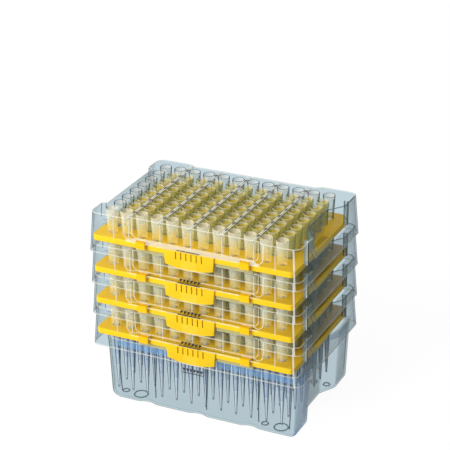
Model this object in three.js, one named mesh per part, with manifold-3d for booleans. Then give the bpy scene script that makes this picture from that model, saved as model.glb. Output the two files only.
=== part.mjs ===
// Stack of pipette tips in refill layers on a deep clear base box.
// Four clear trays nest on each other. Each tray holds a yellow rack plate with 96 tips, and
// the long ends of the tips pass down through the hollow tips of the layers below.
// Millimetres, +Z up. The origin is on the floor, under the centre of the trays.
import * as THREE from 'three';
import { mergeVertices } from 'three/addons/utils/BufferGeometryUtils.js';
import Module from 'manifold-3d';

const wasm = await Module();
wasm.setup();

// ---- driving dimensions ----
const tipPitch = 9;
const columns = 12;
const rows = 8;
const layers = 4;
const layerPitch = 18.7;          // height that each layer adds to the stack
const nestDepth = 4.1;            // how far a tray's skirt reaches down over the one below
const nestClearance = 0.33;       // gap between a skirt and the tray inside it
const wall = 0.85;                // clear tray wall
const marginLeft = 9;             // outer tip axes to the outer face of the tray, at its top
const marginRight = 13.5;
const marginFront = 9.2;          // the same at front and back
const cornerRadius = 5;

const tipLength = 53.1;
const tipSides = 6;
const collarRadius = 3.45;        // tip mouth, outside
const shoulderRadius = 2.85;      // where the collar stands on the plate
const bodyRadius = 2.4;           // just under the plate
const endRadius = 0.45;
const tipWall = 0.45;
const endBoreRadius = 0.22;
const holeClearance = 0.25;       // tip body in its hole in the plate

const deckDrop = 13.5;            // tray top down to the plate's upper face
const deckThickness = 1.5;
const rimWall = 1.2;
const seatHeight = 1;             // pads under the plate's rim
const plateMarginLeft = 8.7;      // outer tip axes to the plate's edge
const plateMarginRight = 9.8;
const plateMarginFront = 7.9;
const plateCorner = 3;

const recessRise = 2.3;           // plate's upper face up to the foot of the recesses
const ledgeSlope = 1.6;           // fall of the recess foot from its wall to the outer face
const recessRound = 2.8;          // rounded lower corners of a recess
const frontRecess = { depth: 2.2, half: 40.2, run: 3.5 };
const leftRecess = { depth: 2.9, half: 26.6, run: 0.5 };
const rightRecess = { depth: 7, half: 21.5, run: 9.5 };

const ribColumns = 2;             // columns between two cross ribs
const ribCount = 5;
const ribDepth = 1.6;
const wallRibDepth = 0.7;         // upright ribs on the front and back walls
const cornerRibOffset = 46.8;     // centre of the tray to the uprights beside the recesses
const postOffset = 27.4;          // centre of the tray to each post inside the right wall
const postReach = 2.4;
const postThickness = 1.2;

const latchOffset = 30.1;         // centre of the tray to each latch
const latchWidth = 5.3;
const latchHeight = 3.8;
const latchRise = 1.4;            // latch top above the plate's upper face
const latchClearance = 0.3;

const tongueHalf = 14.7;
const tongueThickness = 1.3;
const tongueGap = 0.6;            // tongue to the recessed wall behind it
const tongueReach = 0.9;          // tongue tip below the skirt
const tongueShoulder = 2.1;       // how much shorter the tongue is at its ends
const slotCount = 6;
const slotPitch = 3;
const slotWidth = 0.8;
const slotLength = 5.8;
const slotDrop = 1;               // plate's upper face down to the slots

const baseWall = 0.95;
const floorThickness = 1.1;
const floorClearance = 2;         // lowest tip ends above the floor
const baseDraft = 0.05;
const baseRightInset = 1.5;       // base rim inside the tray's outer face, on the right
const baseRightHalf = 20.5;
const baseRoundLeft = 9.5;
const baseRoundRight = 3.5;
const baseEdgeRound = 2.5;
const fluteCount = 3;
const flutePitch = 31;
const fluteHalf = 5;
const fluteRun = 3.5;
const fluteStart = 8;             // plain height of the base wall above the flutes

// ---- what follows from them ----
const gridHalfX = (columns - 1) * tipPitch / 2;
const gridHalfY = (rows - 1) * tipPitch / 2;
const gridX = (marginLeft - marginRight) / 2;
const trayHalfX = gridHalfX + (marginLeft + marginRight) / 2;
const trayHalfY = gridHalfY + marginFront;
const draft = (wall + nestClearance) / layerPitch;
const skirtBottom = layerPitch + nestDepth;
const baseHeight = floorThickness + floorClearance + tipLength - layerPitch;
const plateBottom = layerPitch - seatHeight;
const recessFoot = deckDrop - recessRise;
const frontPlane = trayHalfY - frontRecess.depth;
const holeRadius = bodyRadius + holeClearance;
const ribThickness = 0.38 * (tipPitch - 2 * collarRadius);
const layerTop = (layer) => baseHeight + (layers - layer + 1) * layerPitch;
const tipX = (column) => gridX - gridHalfX + column * tipPitch;
const tipY = (row) => -gridHalfY + row * tipPitch;

// ---- solids ----
function toSolid(geometry) {
  const bare = geometry.clone();
  bare.deleteAttribute('normal');
  bare.deleteAttribute('uv');
  const merged = mergeVertices(bare, 1e-4);
  const index = merged.index.array;
  const kept = [];
  for (let i = 0; i < index.length; i += 3) {
    const [a, b, c] = [index[i], index[i + 1], index[i + 2]];
    if (a !== b && b !== c && c !== a) kept.push(a, b, c);
  }
  return new wasm.Manifold(new wasm.Mesh({
    numProp: 3,
    vertProperties: new Float32Array(merged.attributes.position.array),
    triVerts: new Uint32Array(kept),
  }));
}

function toGeometry(solid) {
  const mesh = solid.getMesh();
  const geometry = new THREE.BufferGeometry();
  geometry.setAttribute('position', new THREE.BufferAttribute(mesh.vertProperties, 3));
  geometry.setIndex(new THREE.BufferAttribute(mesh.triVerts, 1));
  geometry.computeVertexNormals();
  return geometry;
}

const joined = (solids) => solids.reduce((sum, solid) => sum.add(solid));

function block(x0, x1, y0, y1, z0, z1) {
  const geometry = new THREE.BoxGeometry(x1 - x0, y1 - y0, z1 - z0);
  geometry.translate((x0 + x1) / 2, (y0 + y1) / 2, (z0 + z1) / 2);
  return toSolid(geometry);
}

// A closed skin through outlines stacked from the top down; each is { z, points }.
function loft(levels) {
  const count = levels[0].points.length;
  const positions = levels.flatMap(({ z, points }) => points.flatMap((p) => [p.x, p.y, z]));
  const index = [];
  for (let level = 0; level < levels.length - 1; level++) {
    for (let i = 0; i < count; i++) {
      const next = (i + 1) % count;
      const [a, b] = [level * count + i, level * count + next];
      const [c, d] = [a + count, b + count];
      index.push(a, c, b, b, c, d);
    }
  }
  const bottom = (levels.length - 1) * count;
  for (const [a, b, c] of THREE.ShapeUtils.triangulateShape(levels[0].points, [])) {
    index.push(a, b, c);
  }
  for (const [a, b, c] of THREE.ShapeUtils.triangulateShape(levels.at(-1).points, [])) {
    index.push(bottom + a, bottom + c, bottom + b);
  }
  const geometry = new THREE.BufferGeometry();
  geometry.setAttribute('position', new THREE.Float32BufferAttribute(positions, 3));
  geometry.setIndex(index);
  return toSolid(geometry);
}

// A turned piece on a vertical axis; the profile holds [radius, height] pairs.
function turned(profile, sides, x, y) {
  const points = profile.map(([radius, height]) => new THREE.Vector2(radius, height));
  const geometry = new THREE.LatheGeometry(points, sides);
  geometry.rotateX(Math.PI / 2);
  geometry.translate(x, y, 0);
  return toSolid(geometry);
}

// ---- outlines, counter-clockwise seen from above ----
function arc(cx, cy, radius, startDegrees, segments) {
  const points = [];
  for (let i = 0; i <= segments; i++) {
    const angle = THREE.MathUtils.degToRad(startDegrees + 90 * i / segments);
    points.push(new THREE.Vector2(cx + radius * Math.cos(angle), cy + radius * Math.sin(angle)));
  }
  return points;
}

// Four points of a recess in a wall, for a wall along the direction `along` at `origin`.
function notch(origin, along, inward, centre, recess, depthShare, shrink) {
  const half = recess.half - shrink;
  const depth = recess.depth * depthShare;
  const place = (s, d) => origin.clone()
    .addScaledVector(along, centre + s)
    .addScaledVector(inward, d);
  return [place(-half, 0), place(-half + recess.run, depth),
    place(half - recess.run, depth), place(half, 0)];
}

// Moves every wall of an outline inward by the same distance.
function inset(points, distance) {
  const normal = (a, b) => new THREE.Vector2(a.y - b.y, b.x - a.x).normalize();
  return points.map((point, i) => {
    const before = normal(points.at(i - 1), point);
    const after = normal(point, points[(i + 1) % points.length]);
    const share = distance / (1 + before.dot(after));
    return point.clone().addScaledVector(before.add(after), share);
  });
}

const east = new THREE.Vector2(1, 0);
const north = new THREE.Vector2(0, 1);
const west = new THREE.Vector2(-1, 0);
const south = new THREE.Vector2(0, -1);

// ---- clear trays ----
function trayOutline(depthBelowTop, recessShare, shrink) {
  const x = trayHalfX + draft * depthBelowTop;
  const y = trayHalfY + draft * depthBelowTop;
  const grown = draft * depthBelowTop;
  const deeper = (recess) => ({ ...recess, depth: recess.depth + grown });
  const r = cornerRadius;
  return [
    ...arc(-x + r, -y + r, r, 180, 3),
    ...notch(new THREE.Vector2(0, -y), east, north, 0, deeper(frontRecess), recessShare, shrink),
    ...arc(x - r, -y + r, r, 270, 3),
    ...notch(new THREE.Vector2(x, 0), north, west, 0, deeper(rightRecess), recessShare, shrink),
    ...arc(x - r, y - r, r, 0, 3),
    ...notch(new THREE.Vector2(0, y), west, south, 0, deeper(frontRecess), recessShare, shrink),
    ...arc(-x + r, y - r, r, 90, 3),
    ...notch(new THREE.Vector2(-x, 0), south, east, 0, deeper(leftRecess), recessShare, shrink),
  ];
}

// Levels of a tray's surface down to the foot of its recesses, with their corners rounded.
function recessLevels(foot, level) {
  const chord = 1 - Math.SQRT1_2;
  return [
    level(0, 1, 0),
    level(foot - recessRound, 1, 0),
    level(foot - chord * recessRound, 1, chord * recessRound),
    level(foot, 1, recessRound),
  ];
}

function tray(layer) {
  const top = layerTop(layer);
  const outside = (depth, share, shrink) => (
    { z: top - depth, points: trayOutline(depth, share, shrink) });
  const inside = (depth, share, shrink) => (
    { z: top - depth, points: inset(trayOutline(depth, share, shrink), wall) });
  const outer = loft([
    ...recessLevels(recessFoot, outside),
    outside(recessFoot + ledgeSlope, 0, recessRound),
    outside(skirtBottom, 0, recessRound),
  ]);
  const overshoot = 1;
  const aboveTop = { ...inside(0, 1, 0), z: top + overshoot };
  const belowSkirt = { ...inside(skirtBottom, 0, recessRound), z: top - skirtBottom - overshoot };
  const inner = loft([
    aboveTop,
    ...recessLevels(deckDrop, inside),
    inside(deckDrop, 0, recessRound),
    inside(skirtBottom, 0, recessRound),
    belowSkirt,
  ]);
  const ribs = crossRibs(top).add(wallRibs(top)).add(posts(top)).intersect(outer);
  return outer.subtract(inner).add(ribs).subtract(latchWindows(top));
}

function ribX(i) {
  return gridX + (i - (ribCount - 1) / 2) * ribColumns * tipPitch;
}

function crossRibs(top) {
  const ribs = [];
  for (let i = 0; i < ribCount; i++) {
    const x = ribX(i);
    ribs.push(block(x - ribThickness / 2, x + ribThickness / 2,
      -trayHalfY, trayHalfY, top - ribDepth, top));
  }
  return joined(ribs);
}

// Upright ribs inside the front and back walls, from the rim down to the plate's upper face:
// one under each end of a cross rib, and one on each side of both recesses.
function wallRibs(top) {
  const low = top - deckDrop;
  const upright = (x, wallPlane, root) => {
    const x0 = x - ribThickness / 2;
    const x1 = x + ribThickness / 2;
    const face = wallPlane - wall - wallRibDepth;
    return block(x0, x1, -root, -face, low, top).add(block(x0, x1, face, root, low, top));
  };
  const flared = trayHalfY + draft * deckDrop;
  const recessed = trayHalfY - frontRecess.depth;
  const ribs = [-cornerRibOffset, cornerRibOffset].map((x) => upright(x, trayHalfY, flared));
  for (let i = 0; i < ribCount; i++) {
    ribs.push(upright(ribX(i), recessed, recessed - wall / 2));
  }
  return joined(ribs);
}

// Upright posts inside the right wall, from the rim down to the plate's upper face.
function posts(top) {
  const x0 = trayHalfX - wall - postReach;
  const x1 = trayHalfX + draft * deckDrop;
  const low = top - deckDrop;
  return joined([-postOffset, postOffset].map((y) => (
    block(x0, x1, y - postThickness / 2, y + postThickness / 2, low, top))));
}

function latchWindows(top) {
  const high = top - deckDrop + latchRise + latchClearance;
  const low = high - latchHeight - 2 * latchClearance;
  const half = latchWidth / 2 + latchClearance;
  const inner = gridHalfY + plateMarginFront - rimWall / 2 - latchClearance;
  const outer = trayHalfY + draft * skirtBottom + 1;
  const windows = [];
  for (const x of [-latchOffset, latchOffset]) {
    windows.push(block(x - half, x + half, -outer, -inner, low, high));
    windows.push(block(x - half, x + half, inner, outer, low, high));
  }
  return joined(windows);
}

// ---- yellow rack plates ----
function plateOutline() {
  const left = gridX - gridHalfX - plateMarginLeft;
  const right = gridX + gridHalfX + plateMarginRight;
  const y = gridHalfY + plateMarginFront;
  const r = plateCorner;
  return [
    ...arc(left + r, -y + r, r, 180, 3), ...arc(right - r, -y + r, r, 270, 3),
    ...arc(right - r, y - r, r, 0, 3), ...arc(left + r, y - r, r, 90, 3),
  ];
}

function plateBody(top) {
  const outline = plateOutline();
  const pocket = inset(outline, rimWall);
  const deck = top - deckDrop;
  const low = Math.min(top - plateBottom, deck - deckThickness);   // at least as deep as the deck
  const body = loft([{ z: deck, points: outline }, { z: low, points: outline }]);
  const hollow = loft([
    { z: deck - deckThickness, points: pocket },
    { z: low - seatHeight, points: pocket },
  ]);
  return body.subtract(hollow).add(seatPads(top));
}

// Bars under the rim that stand on the recessed walls of the tray below.
function seatPads(top) {
  const high = top - deckDrop - deckThickness / 2;
  const low = top - layerPitch;
  const overlap = 0.15;
  const y0 = frontPlane - wall - overlap;
  const y1 = gridHalfY + plateMarginFront - rimWall / 2;
  const x = frontRecess.half - frontRecess.run - recessRound;
  const left = -trayHalfX + leftRecess.depth;
  const right = trayHalfX - rightRecess.depth;
  const leftHalf = leftRecess.half - leftRecess.run - recessRound;
  const rightHalf = rightRecess.half - rightRecess.run - recessRound;
  const plateLeft = gridX - gridHalfX - plateMarginLeft + rimWall / 2;
  const plateRight = gridX + gridHalfX + plateMarginRight - rimWall / 2;
  return joined([
    block(-x, x, -y1, -y0, low, high),
    block(-x, x, y0, y1, low, high),
    block(plateLeft, left + wall + overlap, -leftHalf, leftHalf, low, high),
    block(right - wall - overlap, plateRight, -rightHalf, rightHalf, low, high),
  ]);
}

function latches(top) {
  const high = top - deckDrop + latchRise;
  const low = high - latchHeight;
  const root = gridHalfY + plateMarginFront - rimWall / 2;
  const face = trayHalfY + draft * deckDrop;
  const tabs = [];
  for (const x of [-latchOffset, latchOffset]) {
    const [x0, x1] = [x - latchWidth / 2, x + latchWidth / 2];
    tabs.push(block(x0, x1, -face, -root, low, high));
    tabs.push(block(x0, x1, root, face, low, high));
  }
  return joined(tabs);
}

// The spring tongue at the front: square at the top, bowed along its lower edge.
function tongue(top) {
  const deck = top - deckDrop;
  const tip = top - skirtBottom - tongueReach;
  const shoulder = tip + tongueShoulder;
  const shape = new THREE.Shape();
  shape.moveTo(-tongueHalf, deck);
  shape.lineTo(-tongueHalf, shoulder);
  shape.quadraticCurveTo(-tongueHalf / 2, tip, 0, tip);
  shape.quadraticCurveTo(tongueHalf / 2, tip, tongueHalf, shoulder);
  shape.lineTo(tongueHalf, deck);
  const geometry = new THREE.ExtrudeGeometry(shape, {
    depth: tongueThickness, bevelEnabled: false, curveSegments: 4 });
  geometry.rotateX(Math.PI / 2);
  geometry.translate(gridX, -frontPlane - tongueGap, 0);
  const root = block(gridX - tongueHalf, gridX + tongueHalf,
    -frontPlane - tongueGap, -gridHalfY - plateMarginFront + rimWall / 2,
    deck - deckThickness, deck);
  return toSolid(geometry).add(root).subtract(tongueSlots(deck));
}

function tongueSlots(deck) {
  const high = deck - slotDrop;
  const slots = [];
  for (let i = 0; i < slotCount; i++) {
    const x = gridX + (i - (slotCount - 1) / 2) * slotPitch;
    slots.push(block(x - slotWidth / 2, x + slotWidth / 2,
      -frontPlane - tongueGap - 2 * tongueThickness,
      -gridHalfY - plateMarginFront, high - slotLength, high));
  }
  return joined(slots);
}

function tipHoles(top) {
  const high = top - deckDrop + 1;
  const low = top - deckDrop - deckThickness - 1;
  const holes = [];
  for (let column = 0; column < columns; column++) {
    holes.push(turned([[0, low], [holeRadius, low], [holeRadius, high], [0, high]],
      tipSides, tipX(column), tipY(0)));
  }
  return joined(holes);
}

// ---- tips ----
const boreAtCollar = collarRadius - tipWall;
const boreAtShoulder = bodyRadius - tipWall;

function separateTip(layer, column) {
  const top = layerTop(layer);
  return turned([
    [collarRadius, top], [boreAtCollar, top], [boreAtShoulder, top - deckDrop],
    [endBoreRadius, top - tipLength], [endRadius, top - tipLength],
    [bodyRadius, top - deckDrop], [shoulderRadius, top - deckDrop], [collarRadius, top],
  ], tipSides, tipX(column), tipY(0));
}

// The part of a tip above the plate, moulded onto it; hollow where it can be looked into.
function standingTip(top, x, y, hollow) {
  const deck = top - deckDrop;
  const root = deck - deckThickness / 2;
  const floor = deck + deckThickness / 2;
  const outside = [[0, root], [shoulderRadius, root], [shoulderRadius, deck], [collarRadius, top]];
  const inside = [[boreAtCollar, top], [boreAtShoulder, floor], [0, floor]];
  return turned(hollow ? [...outside, ...inside] : [...outside, [0, top]], tipSides, x, y);
}

function hangingTip(top, x, y) {
  const root = top - deckDrop - deckThickness / 2;
  const end = top - tipLength;
  return turned([[0, end], [endRadius, end], [bodyRadius, root], [0, root]], tipSides, x, y);
}

const isOuterTip = (column, row) => column === 0 || column === columns - 1 || row === rows - 1;

function plateTips(layer) {
  const top = layerTop(layer);
  const tips = [];
  for (let row = 1; row < rows; row++) {
    for (let column = 0; column < columns; column++) {
      const [x, y] = [tipX(column), tipY(row)];
      const outer = isOuterTip(column, row);
      if (layer === 1) tips.push(standingTip(top, x, y, true));
      else if (outer) tips.push(standingTip(top, x, y, false));
      if (layer === layers && outer) tips.push(hangingTip(top, x, y));
    }
  }
  return joined(tips);
}

function rackPlate(layer) {
  const top = layerTop(layer);
  return plateBody(top)
    .add(latches(top))
    .add(tongue(top))
    .subtract(tipHoles(top))
    .add(plateTips(layer));
}

// ---- base box ----
function baseOutline(depthBelowRim, fluteDepth) {
  const taper = baseDraft * depthBelowRim;
  const left = -trayHalfX + leftRecess.depth + taper;
  const right = trayHalfX - baseRightInset - taper;
  const y = frontPlane - (depthBelowRim > fluteStart ? baseDraft * fluteStart : taper);
  const [rl, rr] = [baseRoundLeft, baseRoundRight];
  const flute = { depth: fluteDepth, half: fluteHalf, run: fluteRun };
  const grip = { depth: rightRecess.depth - baseRightInset, half: baseRightHalf, run: rightRecess.run };
  const fluted = (origin, along, inward) => {
    const points = [];
    for (let i = 0; i < fluteCount; i++) {
      const centre = (i - (fluteCount - 1) / 2) * flutePitch;
      points.push(...notch(origin, along, inward, centre, flute, 1, 0));
    }
    return points;
  };
  return [
    ...arc(left + rl, -y + rl, rl, 180, 4),
    ...fluted(new THREE.Vector2(0, -y), east, north),
    ...arc(right - rr, -y + rr, rr, 270, 2),
    ...notch(new THREE.Vector2(right, 0), north, west, 0, grip, 1, 0),
    ...arc(right - rr, y - rr, rr, 0, 2),
    ...fluted(new THREE.Vector2(0, y), west, south),
    ...arc(left + rl, y - rl, rl, 90, 4),
  ];
}

function baseBox() {
  const level = (height, extra) => {
    const depth = baseHeight - height;
    const fluteDepth = baseDraft * Math.max(0, depth - fluteStart);
    return { z: height, points: inset(baseOutline(depth, fluteDepth), extra) };
  };
  const r = baseEdgeRound;
  const outer = loft([
    level(baseHeight, 0), level(baseHeight - fluteStart, 0),
    level(r, 0), level(0.29 * r, 0.29 * r), level(0, r),
  ]);
  const aboveRim = { ...level(baseHeight, baseWall), z: baseHeight + 1 };
  const inner = loft([
    aboveRim, level(baseHeight, baseWall), level(baseHeight - fluteStart, baseWall),
    level(r, baseWall), level(floorThickness, baseWall + 0.6 * r),
  ]);
  return outer.subtract(inner);
}

// ---- the stack ----
const clearPlastic = new THREE.MeshStandardMaterial({
  color: 0xcfe3e8, roughness: 0.12, metalness: 0, transparent: true, opacity: 0.4 });
const yellowPlastic = new THREE.MeshStandardMaterial({ color: 0xf6c417, roughness: 0.4, metalness: 0 });
const tipPlastic = new THREE.MeshStandardMaterial({
  color: 0xe4ecea, roughness: 0.3, metalness: 0, transparent: true, opacity: 0.6 });

const stack = new THREE.Group();

function addPiece(name, solid, material) {
  const mesh = new THREE.Mesh(toGeometry(solid), material);
  mesh.name = name;
  stack.add(mesh);
}

addPiece('base_box', baseBox(), clearPlastic);
for (let layer = 1; layer <= layers; layer++) {
  addPiece(`tray_${layer}`, tray(layer), clearPlastic);
  addPiece(`rack_plate_${layer}`, rackPlate(layer), yellowPlastic);
  for (let column = 0; column < columns; column++) {
    const number = String(column + 1).padStart(2, '0');
    addPiece(`tip_${layer}_${number}`, separateTip(layer, column), tipPlastic);
  }
}

export default stack;
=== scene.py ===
"""The looks of a stack of pipette tips: four clear refill trays on a clear base box.

Each tray holds a yellow rack plate with 96 translucent tips. The script builds a finer mesh
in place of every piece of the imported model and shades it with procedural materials. The stack
is worked out in millimetres, which turn into metres when a mesh is made. The floor, the light
and the camera are in metres.
"""

import math

import bpy
import numpy as np
from mathutils import Matrix, Vector


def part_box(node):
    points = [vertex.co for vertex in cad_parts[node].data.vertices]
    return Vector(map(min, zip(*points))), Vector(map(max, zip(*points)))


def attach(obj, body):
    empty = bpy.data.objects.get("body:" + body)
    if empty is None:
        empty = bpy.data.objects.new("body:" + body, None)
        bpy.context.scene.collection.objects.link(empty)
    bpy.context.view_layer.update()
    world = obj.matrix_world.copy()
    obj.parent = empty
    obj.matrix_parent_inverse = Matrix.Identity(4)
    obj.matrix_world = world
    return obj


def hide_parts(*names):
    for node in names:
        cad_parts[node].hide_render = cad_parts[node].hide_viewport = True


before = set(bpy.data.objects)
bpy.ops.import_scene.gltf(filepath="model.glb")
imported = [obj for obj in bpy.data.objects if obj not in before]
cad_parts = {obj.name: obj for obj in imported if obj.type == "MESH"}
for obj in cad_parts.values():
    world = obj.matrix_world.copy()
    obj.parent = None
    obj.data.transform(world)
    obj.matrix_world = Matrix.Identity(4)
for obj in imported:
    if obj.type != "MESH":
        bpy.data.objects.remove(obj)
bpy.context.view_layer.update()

MM = 0.001
LAYERS = 4
COLUMNS, ROWS = 12, 8
TIP_PITCH = 9.0
OVERLAP = 0.1             # how far a moulded part reaches into the wall that carries it
PAST = 1.0                # how far a cutter runs past what it cuts
SOFT_SHARE = 0.3          # middle ring of a rounded edge, as a share of the rounding
CORNER_STEPS, NOTCH_STEPS, BEVEL_STEPS, CIRCLE_STEPS = 8, 4, 3, 32
RECESS_ROUND_STEPS, BASE_ROUND_STEPS = 6, 5
SMOOTH_DEGREES = 35       # faces that meet at less than this angle are shaded as one surface

# Clear trays.
WALL = 0.85
CORNER_RADIUS = 5.0
DECK_DROP = 13.5          # tray top down to the plate's upper face
LAYER_PITCH = 18.7
SKIRT_BOTTOM = 22.8
NEST_CLEARANCE = 0.33
DRAFT = (WALL + NEST_CLEARANCE) / LAYER_PITCH
RECESS_FOOT = 11.2        # tray top down to the foot of the recesses
LEDGE_SLOPE = 1.6         # height of the sloping ledge under them
RECESS_ROUND = 2.8
NOTCH_CUT = 1.3           # how far the corners of a recess are rounded off
# A recess is `depth` deep and reaches `half` to each side, and its ends slant over `run`.
FRONT_RECESS = {"depth": 2.2, "half": 40.2, "run": 3.5}
LEFT_RECESS = {"depth": 2.9, "half": 26.6, "run": 0.5}
RIGHT_RECESS = {"depth": 7.0, "half": 21.5, "run": 9.5}
RIM_EDGE = 0.3            # rounding of a wall's free edge
RIB_COUNT, RIB_COLUMNS = 5, 2
RIB_DEPTH, RIB_THICKNESS = 1.6, 0.8
RIB_DROP = 0.05           # tray top down to the top of its cross ribs and posts
RIB_BEAD, RIB_GAP = 0.38, 0.6   # the two beads on a cross rib, with a painted highlight, and the gap between them
DASH, DASH_WIDTH, DASH_DEPTH, DASH_RISE = 2.6, 1.0, 0.5, 0.04    # a dash of painted shade over that gap
WALL_RIB_DEPTH, WALL_RIB_THICKNESS, WALL_RIB_BEVEL = 0.7, 0.6, 0.15
CORNER_RIB_OFFSET = 46.8
POST_OFFSET, POST_REACH, POST_THICKNESS, POST_LINE = 27.4, 2.4, 1.2, 0.35
LATCH_OFFSET, LATCH_WIDTH, LATCH_HEIGHT, LATCH_RISE = 30.1, 5.3, 3.8, 1.4
LATCH_CLEARANCE = 0.3

# Yellow plates.
DECK_THICKNESS = 1.5
PLATE_BOTTOM = 16.8       # tray top down to the rim's lower edge
RIM_WALL = 1.2
PLATE_MARGIN_LEFT, PLATE_MARGIN_RIGHT, PLATE_MARGIN_FRONT = 8.7, 9.8, 7.9
PLATE_CORNER, PLATE_BACK_CORNER = 3.0, 6.5     # the back right corner is rounder than the rest
CORNER_SHRINK = 0.9       # what these corners lose for each millimetre inward
PLATE_EDGE, RIM_EDGE_CUT = 0.45, 0.2
PAD_OVERLAP = 0.15
TONGUE_HALF, TONGUE_THICKNESS, TONGUE_GAP, TONGUE_EDGE = 14.7, 1.3, 0.6, 0.3
TONGUE_REACH, TONGUE_SHOULDER, TONGUE_TAPER, BOW_POINTS = 0.9, 2.1, 0.7, 17
SLOT_COUNT, SLOT_PITCH, SLOT_WIDTH, SLOT_LENGTH, SLOT_DROP = 6, 3.0, 0.6, 4.2, 0.4
STUD_COLUMNS, STUD_ROWS, STUD_PITCH, STUD, STUD_RISE = 9, 4, 1.0, 0.6, 0.12     # grip on the tongue
STUD_START = 0.8          # from the slots to the first row, in pitches

# Tips.
TIP_LENGTH = 53.1
COLLAR_RADIUS, SHOULDER_RADIUS, BODY_RADIUS, END_RADIUS = 3.45, 2.75, 2.4, 0.45
SHOULDER_ROUND, SHOULDER_IN, MOUTH_ROUND = 0.3, 0.1, 0.15
WAIST_SHARE, FOOT_SHARE = 0.38, 0.66     # where a collar's look changes, from its mouth down
TIP_WALL, END_BORE_RADIUS = 0.45, 0.22
HOLE_CLEARANCE = 0.2
TIP_SIDES = 20
BODY_BULGE = 0.15         # how far the body's middle stands out from a straight cone, times 4
PLATE_REFLECTION_TOP, PLATE_REFLECTION_BOTTOM = 1.1, 2.9     # stretch of a bore with a painted reflection of the plate's yellow

# Base box.
BASE_WALL, FLOOR_THICKNESS = 0.95, 1.1
BASE_DRAFT, BASE_RIGHT_INSET, BASE_RIGHT_HALF = 0.05, 1.5, 20.5
BASE_ROUND_LEFT, BASE_ROUND_RIGHT, BASE_EDGE_ROUND, BASE_INNER_ROUND = 9.5, 3.5, 2.5, 1.5
BASE_LINE, BASE_LINE_DROP = 0.5, 2.0     # width of its dark uprights, and their top below the rim
FLUTE_COUNT, FLUTE_PITCH, FLUTE_HALF, FLUTE_RUN, FLUTE_START = 3, 31.0, 5.0, 3.5, 8.0
BIG_RING, SMALL_RING = 3.8, 1.8     # radii of the ridges on its floor
RIDGE_HALF, RIDGE_TOP_HALF, RIDGE_HEIGHT = 0.45, 0.2, 0.45

# Press marks.
MARK_DROP = 11.0          # base box rim down to its mark
ARROWS, ARROW_WIDTH, ARROW_HIGH, ARROW_LOW, ARROW_GAP = 6, 1.9, 2.3, 0.1, 0.2
MARK_LINE_HIGH, MARK_LINE_LOW, MARK_LINE_END = -0.2, -0.7, 0.3
MARK_LIFT, LEDGE_MARK_LIFT = 0.05, 0.16     # how far a mark stands off its wall or ledge


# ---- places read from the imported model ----
def node_box(name):
    low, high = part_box(name)
    return np.array(low) / MM, np.array(high) / MM


def tip_node(layer, column):
    return f"tip_{layer}_{column + 1:02d}"


LAYER_TOPS = [node_box(f"tray_{layer}")[1][2] for layer in range(1, LAYERS + 1)]
BASE_TOP = node_box("base_box")[1][2]
TIP_X = [sum(b[0] for b in node_box(tip_node(1, c))) / 2 for c in range(COLUMNS)]
FIRST_ROW_Y = sum(b[1] for b in node_box(tip_node(1, 0))) / 2
TIP_Y = [FIRST_ROW_Y + row * TIP_PITCH for row in range(ROWS)]
GRID_X = (TIP_X[0] + TIP_X[-1]) / 2
GRID_HALF_X = (TIP_X[-1] - TIP_X[0]) / 2
GRID_HALF_Y = (TIP_Y[-1] - TIP_Y[0]) / 2
SKIRT_HALF = node_box("tray_1")[1][:2]
TRAY_HALF_X, TRAY_HALF_Y = SKIRT_HALF - DRAFT * SKIRT_BOTTOM
FRONT_PLANE = TRAY_HALF_Y - FRONT_RECESS["depth"]
PLATE_LEFT = GRID_X - GRID_HALF_X - PLATE_MARGIN_LEFT
PLATE_RIGHT = GRID_X + GRID_HALF_X + PLATE_MARGIN_RIGHT
PLATE_FRONT = GRID_HALF_Y + PLATE_MARGIN_FRONT


# ---- outlines, counter-clockwise seen from above ----
def inset(corners, distance):
    """Moves every side of an outline inward by the same distance."""
    corners = np.asarray(corners, float)
    side = np.roll(corners, -1, 0) - corners
    normal = np.stack([-side[:, 1], side[:, 0]], 1)
    normal /= np.linalg.norm(normal, axis=1)[:, None]
    before = np.roll(normal, 1, 0)
    share = distance / (1 + (before * normal).sum(1))
    return corners + (before + normal) * share[:, None]


def rounded(corners, cuts, steps):
    """The outline with each corner replaced by an arc that begins its cut's length before it."""
    longest_cut = 0.45      # as a share of the shorter side beside the corner
    parts = []
    count = len(corners)
    for i in range(count):
        point = corners[i]
        back, ahead = corners[i - 1] - point, corners[(i + 1) % count] - point
        reach = min(cuts[i], longest_cut * min(np.linalg.norm(back), np.linalg.norm(ahead)))
        back, ahead = back / np.linalg.norm(back), ahead / np.linalg.norm(ahead)
        weight = math.sqrt(max(0.0, (1 - back @ ahead) / 2))
        t = np.linspace(0, 1, steps[i] + 1)[:, None]
        first, middle, last = (1 - t) ** 2, 2 * weight * t * (1 - t), t**2
        arc = first * (point + back * reach) + middle * point + last * (point + ahead * reach)
        parts.append(arc / (first + middle + last))
    return np.concatenate(parts)


def notch(origin, along, inward, centre, recess, depth):
    """The four corners of a recess in a wall that runs along `along` at `origin`."""
    origin, along, inward = (np.array(v, float) for v in (origin, along, inward))
    half, run = recess["half"], recess["run"]
    steps = ((-half, 0), (-half + run, depth), (half - run, depth), (half, 0))
    return [origin + along * (centre + s) + inward * d for s, d in steps]


EAST, NORTH, WEST, SOUTH = (1, 0), (0, 1), (-1, 0), (0, -1)


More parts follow.
